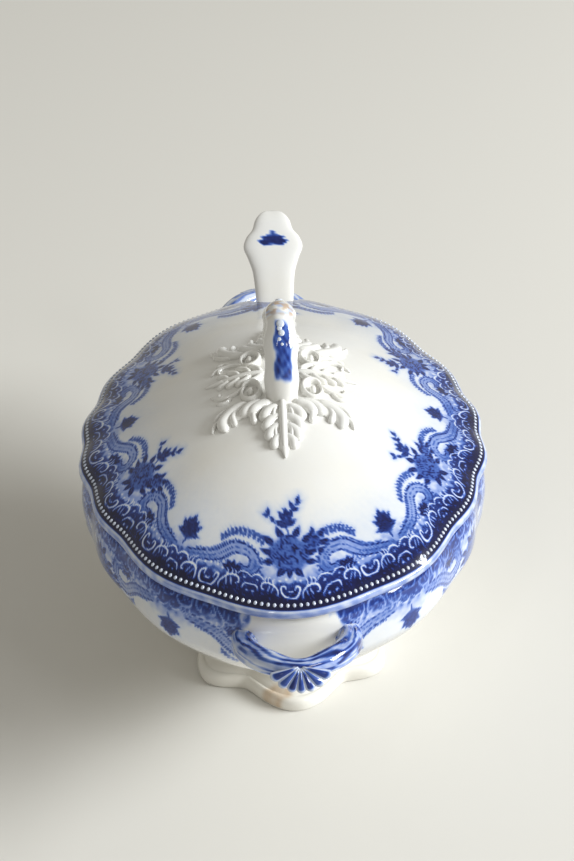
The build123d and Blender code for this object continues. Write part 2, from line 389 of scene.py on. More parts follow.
def draw_spray(p):
    """Bouquet that stands on the border, with side sprigs and fringed ribbons."""
    for side in (-1, 1):
        draw_ribbon(p, side)
    p.dot(0, 21.0, 6.6, 6.4, 0, 0.50, 1.2)
    p.dot(8.2, 24.4, 3.2, 2.4, 0, 0.44, 0.8)
    for x, y, lean, size in (
        (-1.5, 16.5, 4.0, 4.6), (1.8, 16.2, 5.4, 4.6), (0, 16.0, 4.7, 3.6),
        (-5.2, 18.6, 3.3, 4.4), (5.4, 18.4, 6.1, 4.2),
        (-5.6, 21.5, 2.9, 4.2), (-5.0, 24.6, 2.5, 4.8), (-2.2, 27.0, 2.0, 4.4), (2.2, 27.2, 1.2, 4.2),
        (5.6, 21.2, 0.1, 4.2), (4.8, 25.2, 0.67, 4.6), (10.6, 24.0, -0.03, 4.0),
        (10.2, 26.2, 0.77, 3.8), (8.2, 27.0, 1.57, 3.2), (9.6, 22.2, -0.73, 3.4),
    ):
        p.leaf(x, y, size, size * 0.56, lean, 0.96)
    for x, y, r in (
        (-0.3, 18.0, 3.5), (-3.9, 21.7, 3.3), (3.8, 21.6, 3.4), (0.1, 25.2, 3.3), (8.6, 24.6, 2.5),
    ):
        p.rose(x, y, r, 0.80)
    # upright sprig with a bud
    p.line([(0.2, 28), (-0.6, 31.5), (0.4, 35.5), (3.6, 39.6)], 0.6, 0.75)
    p.dot(-0.2, 32.6, 1.9, 1.6, 0.3, 0.72, 0.4)
    for x, y, lean, size in (
        (-0.5, 31.2, 2.7, 4.2), (-0.4, 31.6, 0.5, 4.0), (-0.8, 33.4, 2.2, 3.9), (0.0, 33.8, 1.1, 3.9),
        (-0.4, 34.4, 1.65, 3.6), (0.4, 35.4, 2.3, 2.8), (1.4, 37.0, 0.1, 2.8), (1.8, 37.8, 1.9, 2.6),
        (3.0, 39.0, 0.4, 2.4), (3.4, 39.5, 1.3, 2.6),
        (-4.6, 32.6, 2.2, 2.6), (-6.4, 34.6, 2.9, 2.4), (-6.6, 35.0, 1.6, 2.6),
    ):
        p.leaf(x, y, size, size * 0.58, lean, 0.9)
    p.line([(-0.6, 30.4), (-4.2, 32.2), (-7.0, 35.4)], 0.5, 0.6)
    # side sprigs of small leaves, arching outwards
    for side in (-1, 1):
        bough = path([(side * 6.5, 25.0), (side * 12, 27.2), (side * 18, 26.8), (side * 23.5, 23.0)], 12)
        p.line(bough, 0.5, 0.6)
        for i, (x, y) in enumerate(bough[1:]):
            for up in (1, -1):
                p.leaf(x, y, 2.4 - 0.07 * i, 1.3, 1.57 - side * 1.57 + up * side * 0.95, 0.70, 0.22)


def draw_ribbon(p, side):
    """Fringed ribbon that runs along the border, swells upwards and curls over beside the bouquet."""
    spine = path([
        (side * x, y) for x, y in (
            (38, 12.8), (33, 14.0), (27.5, 15.4), (23.2, 18.0), (19.2, 20.8),
            (15.0, 21.2), (11.8, 18.6), (12.0, 15.2), (15.0, 13.6), (17.6, 15.4),
        )
    ], 76)
    t = np.linspace(0, 1, len(spine))
    half = 2.1 * np.sqrt(np.clip(1 - (1.25 * t - 0.25) ** 4, 0.05, 1)) * (0.72 + 0.36 * t)
    for (x, y), h in zip(spine[::2], half[::2]):
        p.dot(x, y, h, strength=0.26, soft=0.5)
    for share, strength in ((0.95, 0.92), (0.05, 0.58), (-0.95, 0.92)):
        edge = offset(spine, 1.0) - spine
        p.line((spine + edge * (half * share)[:, None])[::3], 0.46, strength, count=44, taper=False)
    outer = offset(spine, -side) - spine
    for i in range(8, 70, 2):
        root = spine[i] + outer[i] * (half[i] + 0.55)
        p.dot(root[0], root[1], 0.42, strength=0.62, soft=0.25)
    # netting between the ribbon and the border
    for x in np.arange(17, 33, 2.2):
        p.line([(side * x, 13.0), (side * (x + 1.8), 15.6)], 0.34, 0.5, count=4, taper=False)
        p.line([(side * (x + 1.8), 13.0), (side * x, 15.6)], 0.34, 0.5, count=4, taper=False)
    # dark leaf cluster on the border
    for lean in (0.1, 0.75, 1.4, 2.1, 2.8):
        p.leaf(side * 20.0, 12.0, 4.4, 2.8, lean, 1.0)


def draw_single_leaf(p, cy):
    """Dark ivy-shaped leaf between two sprays."""
    p.dot(0, cy + 2.2, 3.0, 3.6, 0, 0.78, 0.6)
    p.line([(0, cy - 3.5), (0, cy + 1)], 0.7, 0.8)
    for lean, size in (
        (1.57, 7.6), (0.80, 6.0), (2.34, 6.0), (0.05, 5.0), (3.09, 5.0), (1.2, 6.2), (1.94, 6.2),
    ):
        p.leaf(0, cy + 0.6, size, size * 0.56, lean, 0.88)


def draw_scrolls(p):
    """White scrollwork of one repeat, left bare in the dark border."""
    for side in (-1, 1):
        m = lambda pts: [(side * x, y) for x, y in pts]
        p.line(m([(0, 0.9), (2.1, 1.2), (3.5, 2.8), (3.3, 4.9), (2.2, 5.0), (1.9, 3.8)]), 0.80, 1.0, True)
        p.line(m([(0.0, 2.9), (1.0, 3.2)]), 0.6, 0.9, True)
        p.line(m([(4.9, 1.4), (5.0, 3.2), (6.2, 4.9), (8.6, 5.8), (11.0, 5.0), (11.4, 3.4), (10.2, 2.9)]),
               0.78, 1.0, True, count=20)
        p.line(m([(10.2, 6.6), (11.6, 7.9), (13.6, 8.1), (15.8, 6.6)]), 0.66, 1.0, True)
        p.line(m([(12.6, 1.8), (13.6, 3.5), (15.9, 3.9)]), 0.62, 0.95, True)
        for x, tall in ((6.2, 7.6), (7.8, 8.4), (9.2, 8.0)):
            p.line(m([(x, 5.2), (x + 0.5, tall - 0.8), (x - 0.3, tall)]), 0.55, 0.9, True, count=8)
        for x in (6.4, 8.0):
            p.line(m([(x, 4.6), (x + 0.9, 2.4)]), 0.5, 0.85, True, count=6)
        for x, y in ((3.9, 7.0), (13.2, 5.9), (14.6, 1.3), (1.6, 7.6)):
            p.line(m([(x - 0.05, y), (x + 0.05, y)]), 0.85, 0.85, True, count=2, taper=False)


def speckle(x, v, seed=3, size=1.0):
    """Cheap smooth noise from a few crossed waves, between 0 and 1."""
    rng = random.Random(seed)
    total = np.zeros(len(x))
    for _ in range(7):
        a, f = rng.uniform(0, math.pi), rng.uniform(0.6, 1.9) / size
        total += np.sin(f * (x * math.cos(a) + v * math.sin(a)) + rng.uniform(0, 6.3))
    return np.clip(0.5 + total / 7, 0, 1)


def printed_ink(along, v, shrink, beads=True):
    """Ink for points at length along the rim and v inside it. shrink is how the rows shorten inwards.

    beads is for the lid, where a solid band lies under the bead row and the scrollwork is whiter.
    """
    along = along + 0.35 * (speckle(along, v, 41, 0.9) - 0.5)
    period = rim_round / sprays
    cell = np.floor(along / period)
    x_rim = along - (cell + 0.5) * period
    main = Print(x_rim * shrink, v)
    draw_spray(main)
    between = Print((np.mod(x_rim + period, period) - period / 2) * shrink, v)
    draw_single_leaf(between, 18.5)
    repeat = rim_round / cartouches
    noise = speckle(along, v, 3, 0.8)
    slow = speckle(along, v, 61, 4.0)
    sway = slow - 0.5
    scroll = Print(np.mod(along + 1.6 * sway, repeat) - repeat / 2, v - border_start + 1.8 * sway)
    draw_scrolls(scroll)
    fine = speckle(along, v, 8, 0.28)
    grain = speckle(along, v, 12, 0.17)
    edge = border_start + 7.2 + 1.2 * np.cos(2 * np.pi * along / repeat) + 2.4 * (noise - 0.5)
    ground = 1 - smooth(edge - 1.0, edge + 1.2, v)
    mottled = smooth(0.55, 0.75, grain) * smooth(0.4, 0.65, noise)
    ground *= 0.98 - 0.24 * smooth(border_start + 1, edge, v) - 0.34 * mottled
    haze = 0.26 * (1 - smooth(edge, edge + 8, v)) + 0.07 * (1 - smooth(edge + 8, edge + 32, v))
    ink = np.maximum.reduce([main.ink * (0.80 + 0.32 * fine), between.ink * (0.85 + 0.25 * fine), ground])
    halo = np.maximum.reduce([main.halo, between.halo, haze])
    ink = 1 - (1 - np.clip(ink, 0, 1)) * (1 - halo)
    if beads:
        ink = np.maximum(ink, 1 - smooth(border_start - 0.4, border_start + 0.3, v))
    return ink * (1 - (0.93 if beads else 0.55) * scroll.white * (v > border_start - 0.3))


# ---- glaze ----
def glaze(name, white=(0.77, 0.77, 0.755), printed=True, mottling=0.10):
    """Glossy lead glaze over white ware; ink and stain attributes colour it."""
    material = bpy.data.materials.new(name)
    material.use_nodes = True
    nodes, links = material.node_tree.nodes, material.node_tree.links
    shader = nodes["Principled BSDF"]
    shader.inputs["IOR"].default_value = 1.5
    shader.inputs["Specular IOR Level"].default_value = 0.1
    shader.inputs["Coat Weight"].default_value = 1.0
    shader.inputs["Coat Roughness"].default_value = 0.035
    shader.inputs["Coat IOR"].default_value = 1.5
    place = nodes.new("ShaderNodeTexCoord")

    def noise(scale, detail=3.0):
        node = nodes.new("ShaderNodeTexNoise")
        node.inputs["Scale"].default_value = scale
        node.inputs["Detail"].default_value = detail
        links.new(place.outputs["Object"], node.inputs["Vector"])
        return node.outputs["Fac"]

    def feed(socket, value):
        """Links a socket to another, or sets it to a constant."""
        if hasattr(value, "links"):
            links.new(value, socket)
        else:
            socket.default_value = value

    def mix(kind, a, b, factor):
        node = nodes.new("ShaderNodeMix")
        node.data_type = "RGBA"
        node.blend_type = kind
        for socket, value in ((node.inputs[6], a), (node.inputs[7], b), (node.inputs[0], factor)):
            feed(socket, value)
        return node.outputs[2]

    def math_node(operation, a, b):
        node = nodes.new("ShaderNodeMath")
        node.operation = operation
        for socket, value in zip(node.inputs, (a, b)):
            feed(socket, value)
        return node.outputs[0]

    def ramp(value, stops):
        node = nodes.new("ShaderNodeValToRGB")
        links.new(value, node.inputs["Fac"])
        while len(node.color_ramp.elements) < len(stops):
            node.color_ramp.elements.new(0.5)
        for element, (position, colour) in zip(node.color_ramp.elements, stops):
            element.position, element.color = position, (*colour, 1)
        return node.outputs["Color"]

    cream = tuple(c * k for c, k in zip(white, (1.0, 0.985, 0.95)))
    ware = ramp(noise(38, 4), ((0.35, cream), (0.65, white)))
    colour = ware
    if printed:
        ink = nodes.new("ShaderNodeAttribute")
        ink.attribute_name = "ink"
        wander = math_node("MULTIPLY", math_node("SUBTRACT", noise(420, 4), 0.5), mottling * 2)
        drift = math_node("MULTIPLY", math_node("SUBTRACT", noise(60, 2), 0.5), mottling * 1.6)
        inked = math_node("MINIMUM", math_node("MULTIPLY", ink.outputs["Fac"], 4.0), 1.0)
        uneven = math_node("MULTIPLY", math_node("ADD", wander, drift), inked)
        density = math_node("ADD", ink.outputs["Fac"], uneven)
        blues = ramp(density, (
            (0.0, (1.0, 1.0, 1.0)), (0.10, (0.76, 0.83, 0.98)), (0.28, (0.34, 0.45, 0.86)),
            (0.48, (0.080, 0.178, 0.60)), (0.70, (0.018, 0.058, 0.34)), (0.88, (0.005, 0.016, 0.14)),
            (1.0, (0.002, 0.003, 0.045)),
        ))
        colour = mix("MULTIPLY", colour, blues, 1.0)
    stain = nodes.new("ShaderNodeAttribute")
    stain.attribute_name = "stain"
    tan = math_node("MULTIPLY", stain.outputs["Fac"], math_node("ADD", noise(260, 4), 0.45))
    colour = mix("MIX", colour, (0.50, 0.33, 0.17, 1), tan)
    links.new(colour, shader.inputs["Base Color"])
    roughness = nodes.new("ShaderNodeMapRange")
    roughness.inputs["To Min"].default_value = 0.16
    roughness.inputs["To Max"].default_value = 0.30
    links.new(noise(90, 3), roughness.inputs["Value"])
    links.new(roughness.outputs["Result"], shader.inputs["Roughness"])
    bump = nodes.new("ShaderNodeBump")
    bump.inputs["Strength"].default_value = 0.12
    bump.inputs["Distance"].default_value = 0.0006
    links.new(noise(110, 2), bump.inputs["Height"])
    links.new(bump.outputs["Normal"], shader.inputs["Normal"])
    links.new(bump.outputs["Normal"], shader.inputs["Coat Normal"])
    return material


materials = {name: glaze(name) for name in (
    "bowl_glaze", "handle_glaze", "shell_glaze", "lid_glaze", "finial_glaze", "ladle_glaze")}
materials["relief_glaze"] = glaze("relief_glaze", printed=False)
materials["foot_glaze"] = glaze("foot_glaze", white=(0.78, 0.765, 0.72), printed=False)


def finish_piece(obj, body, nodes, slot):
    """Gives a piece its glaze and its place in the frame."""
    obj.data.materials.append(materials[slot])
    for name in ("ink", "stain"):
        if name not in obj.data.attributes:
            set_attribute(obj, name, np.zeros(len(obj.data.vertices)))
    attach(obj, body)
    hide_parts(*nodes)
    return obj


def profile_steps(profile):
    """Length run along a profile, on the mean of its two half sizes."""
    mean_half = profile[:, :2] @ (rim_half_x, rim_half_y) / 2
    return run_length(np.hypot(np.diff(mean_half), np.diff(profile[:, 2])))


# ---- lid ----
lid_steps = profile_steps(lid_profile)


def lid_at(v):
    """Half sizes, height and lobe strength of the lid, v millimetres in from its edge."""
    rows = curve(v, lid_steps, lid_profile)
    return rows[:, 0] * rim_half_x, rows[:, 1] * rim_half_y, rows[:, 2], rows[:, 3]


def lid_level(v):
    """The same for one single v."""
    return [column[0] for column in lid_at(v)]


lid_samples = np.linspace(0, lid_steps[-1], 260)
lid_table = lid_at(lid_samples)


def lid_inset(points):
    """How far in from the edge each point of the lid's top lies."""
    turn = np.arctan2(points[:, 1], points[:, 0])
    r = np.hypot(points[:, 0], points[:, 1])
    inset = np.zeros(len(points))
    previous = reach(turn, lid_table[0][0], lid_table[1][0], lid_table[3][0])
    for i in range(1, len(lid_samples)):
        current = reach(turn, lid_table[0][i], lid_table[1][i], lid_table[3][i])
        inside = (r <= previous) & (r >= current)
        part = (previous - r) / np.maximum(previous - current, 1e-6)
        inset[inside] = (lid_samples[i - 1] + part * (lid_samples[i] - lid_samples[i - 1]))[inside]
        previous = current
    return inset


def lid_surface(x, y):
    """Height of the lid's top over a point."""
    points = np.stack([np.atleast_1d(x), np.atleast_1d(y)], 1).astype(float)
    return np.interp(lid_inset(points), lid_samples, lid_table[2])


def build_lid():
    fine = np.concatenate([np.arange(0, 16, 0.5), np.arange(16, 43, 0.65)])
    counts = [rim_columns if v < 16 else rim_columns // 2 for v in fine]
    coarse = np.arange(43, lid_steps[-1] - 3, 2.2)
    counts += [rim_columns // 4 if v < 60 else rim_columns // 8 for v in coarse]
    levels = np.concatenate([fine, coarse])
    rings = [ring(n, *lid_level(v)) for n, v in zip(counts, levels)]
    rings = [np.array([[0, 0, lid_profile[-1, 2]]])] + rings[::-1]
    # rounded lip, flat seat, locating ring, hollow underside
    n = rim_columns
    for inset, height in ((-0.25, lip_top - 0.35), (-0.35, lip_top - 1.0), (-0.35, lip_bottom + 0.8),
                          (-0.1, lip_bottom + 0.2), (0.5, lip_bottom)):
        rings.append(ring(n, rim_half_x - inset, rim_half_y - inset, height, 1.0))
    n = rim_columns // 2
    for inset, height, wave in (
        (3.0, lip_bottom, 1.0), (8.0, lip_bottom, 0.6), (8.1, 75.2, 0.5), (8.7, 74.6, 0.5),
        (10.0, 74.6, 0.5), (10.5, 75.2, 0.5), (10.6, 84.0, 0.5),
    ):
        rings.append(ring(n, rim_half_x - inset, rim_half_y - inset, height, wave))
    n = rim_columns // 4
    for v in np.arange(17, lid_steps[-1] - 3, 4.0):
        half_x, half_y, height, wave = lid_level(v)
        rings.append(ring(n, half_x - 1.2, half_y - 1.2, height - lid_wall, wave * 0.5))
    rings.append(np.array([[0, 0, lid_profile[-1, 2] - lid_wall]]))
    lid = skin("lid_shell", rings)
    # ladle notch
    turn = np.linspace(math.pi, 2 * math.pi, 25)
    outline = [(notch_half_width * math.cos(a), notch_end + notch_half_width * math.sin(a)) for a in turn]
    outline += [(notch_half_width, notch_end + 30), (-notch_half_width, notch_end + 30)]
    low = [(x, y, 66.0) for x, y in outline]
    high = [(x, y, 106.0) for x, y in outline]
    count = len(outline)
    faces = [tuple(range(count)), tuple(range(count, 2 * count))]
    faces += [(i, (i + 1) % count, count + (i + 1) % count, count + i) for i in range(count)]
    cutter = make_object("notch_cutter", low + high, faces, False)
    cut = lid.modifiers.new("notch", "BOOLEAN")
    cut.operation, cut.solver, cut.object = "DIFFERENCE", "EXACT", cutter
    bpy.context.view_layer.objects.active = lid
    bpy.ops.object.modifier_apply(modifier=cut.name)
    bpy.data.objects.remove(cutter)
    lid.data.polygons.foreach_set("use_smooth", [True] * len(lid.data.polygons))
    points = positions(lid)
    inset = lid_inset(points)
    turn = np.mod(np.arctan2(points[:, 1], points[:, 0]), 2 * np.pi)
    along = np.interp(turn, rim_table, rim_length)
    top = points[:, 2] > np.interp(inset, lid_samples, lid_table[2]) - 1.2
    ink = printed_ink(along, inset, 1 - np.minimum(inset, 60) / 100)
    streak = 0.16 + 0.22 * speckle(along, points[:, 2] * 3, 11, 1.6)
    lip = (points[:, 2] < lip_top - 0.2) & (inset < 1)
    edge_line = smooth(0.45, 1.0, inset)
    ink = np.where(lip, streak, np.where(top, ink * edge_line + streak * 0.6 * (1 - edge_line), 0.0))
    under = points[:, 2] < lip_bottom + 0.1
    set_attribute(lid, "ink", np.where(under, 0.0, ink))
    return finish_piece(lid, "lid", ("lid",), "lid_glaze")


def ball(centre, axes, sizes, rings_count=6, sides=12):
    """Points and faces of a small closed ellipsoid."""
    tilt = np.linspace(0, math.pi, rings_count + 1)
    turn = np.linspace(0, 2 * math.pi, sides, endpoint=False)
    rings = []
    for a in tilt:
        if a in (tilt[0], tilt[-1]):
            local = np.array([[0, 0, math.cos(a)]])
        else:
            level = np.full(sides, math.cos(a))
            local = np.stack([math.sin(a) * np.cos(turn), math.sin(a) * np.sin(turn), level], 1)
        rings.append(centre + (local * sizes) @ axes)
    return np.vstack(rings), skin_faces([len(r) for r in rings])


def build_beads():
    """Row of raised beads just inside the lid's edge."""
    places = np.arange(bead_count) * rim_round / bead_count
    turn = np.interp(places, rim_length, rim_table)
    half_x, half_y, height, wave = lid_level(bead_row)
    r = reach(turn, half_x, half_y, wave)
    spots = np.stack([r * np.cos(turn), r * np.sin(turn), np.full(len(turn), height)], 1)
    forward = np.roll(spots, -1, axis=0) - np.roll(spots, 1, axis=0)
    forward /= np.linalg.norm(forward, axis=1, keepdims=True)
    slope = math.radians(40)
    parts = []
    for spot, ahead in zip(spots, forward):
        if spot[1] > 0 and abs(spot[0]) < notch_half_width + 1.0:
            continue
        out = np.array([ahead[1], -ahead[0], 0])
        normal = out * math.sin(slope) + np.array([0, 0, math.cos(slope)])
        inward = np.cross(normal, ahead)
        parts.append(ball(spot, np.array([ahead, inward, normal]), (0.62, 0.76, 0.42)))
    beads = join_parts("lid_beads", parts)
    set_attribute(beads, "ink", np.full(len(beads.data.vertices), 0.13))
    return finish_piece(beads, "lid", ("lid",), "lid_glaze")


# ---- bowl ----
def build_bowl():
    steps = profile_steps(bowl_profile)
    n = rim_columns * 5 // 7
    turns = even_turns(rim_half_x, rim_half_y, n)[0]
    levels = np.concatenate([np.arange(0, 36, 0.62), np.arange(36, steps[-1] - 0.5, 2.0), [steps[-1]]])

    def wall(v, inwards, columns):
        share_x, share_y, height, wave = curve(v, steps, bowl_profile)[0]
        half_x, half_y = rim_half_x * share_x - inwards, rim_half_y * share_y - inwards
        return ring(columns, half_x, half_y, height, wave, turns)

    rings = [np.array([[0, 0, foot_high]])] + [wall(v, 0, n if v < 36 else n // 2) for v in levels[::-1]]
    mouth_x, mouth_y = rim_half_x * bowl_profile[0, 0], rim_half_y * bowl_profile[0, 1]
    for inset, height in ((0.15, -0.45), (0.6, -0.12), (1.3, 0.0), (3.4, 0.0), (4.3, -0.3), (4.8, -1.0)):
        rings.append(ring(n, mouth_x - inset, mouth_y - inset, bowl_high + height, 1.0, turns))
    inner = [v for v in np.arange(2.5, steps[-1], 2.5) if curve(v, steps, bowl_profile)[0, 2] > 24]
    rings += [wall(v, 5, n // 2) for v in inner]
    for share_x, share_y, height in ((0.36, 0.42, 21.0), (0.30, 0.36, 19.9), (0.20, 0.24, 19.5)):
        rings.append(ring(n // 4, rim_half_x * share_x, rim_half_y * share_y, height, 0, turns))
    rings.append(np.array([[0, 0, 19.5]]))
    bowl = skin("bowl_shell", rings)
    points = positions(bowl)
    turn = np.mod(np.arctan2(points[:, 1], points[:, 0]), 2 * np.pi)
    along = np.interp(turn, rim_table, rim_length)
    up = bowl_profile[::-1]
    down = np.interp(points[:, 2], up[:, 2], steps[::-1])
    share_x, share_y = (np.interp(points[:, 2], up[:, 2], up[:, i]) for i in (0, 1))
    mid_wall = reach(turn, rim_half_x * share_x - 2.5, rim_half_y * share_y - 2.5, 0.5)
    outside = np.hypot(points[:, 0], points[:, 1]) > mid_wall
    ink = printed_ink(along, down + 5.0, 1 - np.minimum(down, 60) / 300, beads=False)
    # the print stops short of both handles
    gap = np.minimum(np.abs(along - rim_round * 0.75), np.abs(along - rim_round * 0.25))
    ragged = 4.0 * (speckle(along, down, 21, 1.4) - 0.5) + 0.25 * down
    ink *= smooth(14.5 + ragged, 18.0 + ragged, gap)
    ink *= 0.88 * (1 - smooth(30, 38, down))
    ink = np.where(outside & (points[:, 2] < bowl_high - 0.5), ink, 0.0)
    set_attribute(bowl, "ink", ink)
    return finish_piece(bowl, "tureen", ("bowl",), "bowl_glaze")


# ---- foot ----
def rotated(points, degrees):
    """Points turned round the upright axis."""
    c, s = math.cos(math.radians(degrees)), math.sin(math.radians(degrees))
    return points @ np.array([[c, s, 0], [-s, c, 0], [0, 0, 1.0]])


def at_end(points, side):
    """Turns points made at the front end to the front or the back of the bowl."""
    return rotated(points, front_turn if side < 0 else back_turn)


def build_foot():
    """Spreading lobed foot with a tan stain in front."""
    full_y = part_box("pedestal_foot")[1][1] / MM / 1.10
    full_x = full_y * 42.0 / 53.2
    lobing = dict(between=foot_notches, depth=0.17, middle=0.5)
    turns = even_turns(full_x, full_y, 480, **lobing)[0]

    def level(spread, height, wave, inset=0.0):
        half_x = waist_half_x + (full_x - waist_half_x) * spread - inset
        half_y = waist_half_y + (full_y - waist_half_y) * spread - inset
        return ring(480, half_x, half_y, height, wave, turns, **lobing)

    rings = [np.array([[0, 0, foot_high]]), level(0, foot_high, 0, 2.0)]
    rings += [level(*row) for row in (
        # hollow slope from the waist down
        (0.00, foot_high, 0.10), (0.02, 13.6, 0.15), (0.07, 12.0, 0.30), (0.14, 10.8, 0.45),
        (0.24, 9.5, 0.58), (0.36, 8.3, 0.70), (0.50, 7.2, 0.80), (0.62, 6.4, 0.87), (0.70, 5.9, 0.91),
        # step, rounded edge and the ground face
        (0.745, 5.45, 0.93), (0.77, 5.3, 0.94), (0.80, 5.45, 0.95), (0.85, 5.5, 0.96), (0.92, 5.1, 0.98),
        (0.97, 4.4, 1.0), (1.00, 3.5, 1.0), (1.005, 2.4, 1.0), (1.0, 1.2, 1.0), (0.985, 0.4, 1.0),
        (0.955, 0.0, 1.0), (0.60, 0.0, 0.7), (0.20, 0.0, 0.3),
    )]
    # the recess underneath
    for inset, height in ((2.6, 0.0), (3.5, 0.3), (4.0, 1.2), (4.3, 9.2), (5.2, 10.0), (12.0, 10.0)):
        rings.append(level(0, height, 0, inset))
    rings.append(np.array([[0, 0, 10.0]]))
    foot = skin("foot_shell", [rotated(r, foot_turn) for r in rings])
    points = positions(foot)
    spot = np.hypot((points[:, 0] + 6) / 6.5, (points[:, 1] + 53.5) / 3.6)
    ragged = 0.35 * (speckle(points[:, 0], points[:, 1], 51, 1.2) - 0.5)
    stain = 0.62 * (1 - smooth(0.75, 1.35, spot + ragged)) * (points[:, 2] > 0.5)
    set_attribute(foot, "stain", stain)
    return finish_piece(foot, "tureen", ("pedestal_foot",), "foot_glaze")


# ---- side handles and shells ----
def build_handle(side):
    name = "front_handle" if side < 0 else "back_handle"
    half = [
        (17.5, -100.2, 69.0), (18.0, -104.8, 70.2), (15.0, -113.9, 72.3), (7.8, -121.0, 73.7),
        (0, -124.2, 74.3),
    ]
    half = [(x, y, z + (0 if side < 0 else 1.3)) for x, y, z in half]
    centres = path(half + [(-x, y, z) for x, y, z in half[-2::-1]], 110)
    across, normals = rod_frames(centres, np.tile((0.0, 0.0, 1.0), (len(centres), 1)))
    t = np.abs(np.linspace(-1, 1, len(centres)))
    wide = 3.3 + 1.0 * smooth(0.05, 0.36, t) + 0.6 * smooth(0.80, 1.0, t)
    high = 3.2 + 1.0 * smooth(0.05, 0.36, t) + 0.4 * smooth(0.80, 1.0, t)
    ribbed = lambda a: 1 + 0.035 * np.cos(5 * a + 0.6) + 0.02 * np.cos(9 * a)
    points, faces = swept(centres, across, normals, wide, high, 48, ribbed)
    place = np.repeat(np.linspace(-1, 1, len(centres)), 48)
    angle = np.tile(np.linspace(0, 2 * np.pi, 48, endpoint=False), len(centres))
    streak = speckle(place * 7, np.sin(angle) * 4.2 + np.cos(angle) * 1.7, 17, 0.8)
    patch = speckle(place * 9, np.sin(angle) * 1.4, 19, 1.2)
    grain = speckle(place * 34, np.cos(angle) * 5, 18, 0.8)
    brushed = 0.5 + 0.5 * np.cos(9 * angle + 6 * streak + 5 * place)
    ink = (0.26 + 0.62 * smooth(0.25, 0.8, brushed)) * (0.35 + 0.65 * smooth(0.30, 0.55, patch))
    ink *= 0.8 + 0.3 * grain
    ink *= smooth(-0.95, -0.45, np.sin(angle)) * (1 - 0.75 * smooth(0.86, 0.97, np.abs(place)))
    ink *= 1.0 if side < 0 else 0.45
    obj = make_object(name + "_loop", at_end(points, side), faces)
    set_attribute(obj, "ink", bare_ends(ink))
    return finish_piece(obj, "tureen", (name,), "handle_glaze")


def build_shell(side):
    """Scallop of seven rounded flutes that hangs from the middle of the handle."""
    name = "front_shell" if side < 0 else "back_shell"
    start = np.array([0, -125.9, 76.6])
    drop, sideways, normal = (np.array(v) for v in ((0, -0.58, -0.815), (1.0, 0, 0), (0, -0.815, 0.58)))
    flutes, limit, columns, rows = 7, 80, 169, 24
    rings, ink = [], []
    for a in np.linspace(-limit, limit, columns):
        turn = math.radians(a)
        part = (a + limit) / (2 * limit) * flutes
        bulge = abs(math.sin(math.pi * part)) ** 0.75
        length = (9.0 + 0.00035 * a * a) * (0.88 + 0.12 * bulge)
        outward = drop * math.cos(turn) + sideways * math.sin(turn)
        t = np.linspace(0.0, 1.0, rows)
        radius = 0.8 + t * (length - 0.8)
        crown = np.sin(np.pi * np.clip(t * 0.80 + 0.14, 0, 1))
        lift = 0.9 + 1.7 * crown * (0.35 + 0.65 * bulge * t ** 0.25)
        front = start + np.outer(radius, outward) + np.outer(lift, normal)
        back = start + np.outer(radius[::-1] * 0.97, outward) - np.outer(np.full(rows, 1.4), normal)
        rings.append(np.vstack([front, back]))
        rib = abs(2 * (part % 1) - 1)
        tone = 0.86 - 0.16 * (int(min(part, flutes - 0.01)) % 2) - 0.001 * abs(a)
        paint = tone * (1 - smooth(0.52, 0.86, rib)) * smooth(0.05, 0.3, t) * (1 - smooth(0.84, 0.97, t))
        paint = np.maximum(paint, 0.16)
        ink.append(np.concatenate([paint, np.zeros(rows)]))
    rings = [at_end(r, side) for r in rings]
    obj = skin(name + "_fan", rings)
    set_attribute(obj, "ink", bare_ends(np.concatenate(ink)))
    return finish_piece(obj, "tureen", (name,), "shell_glaze")


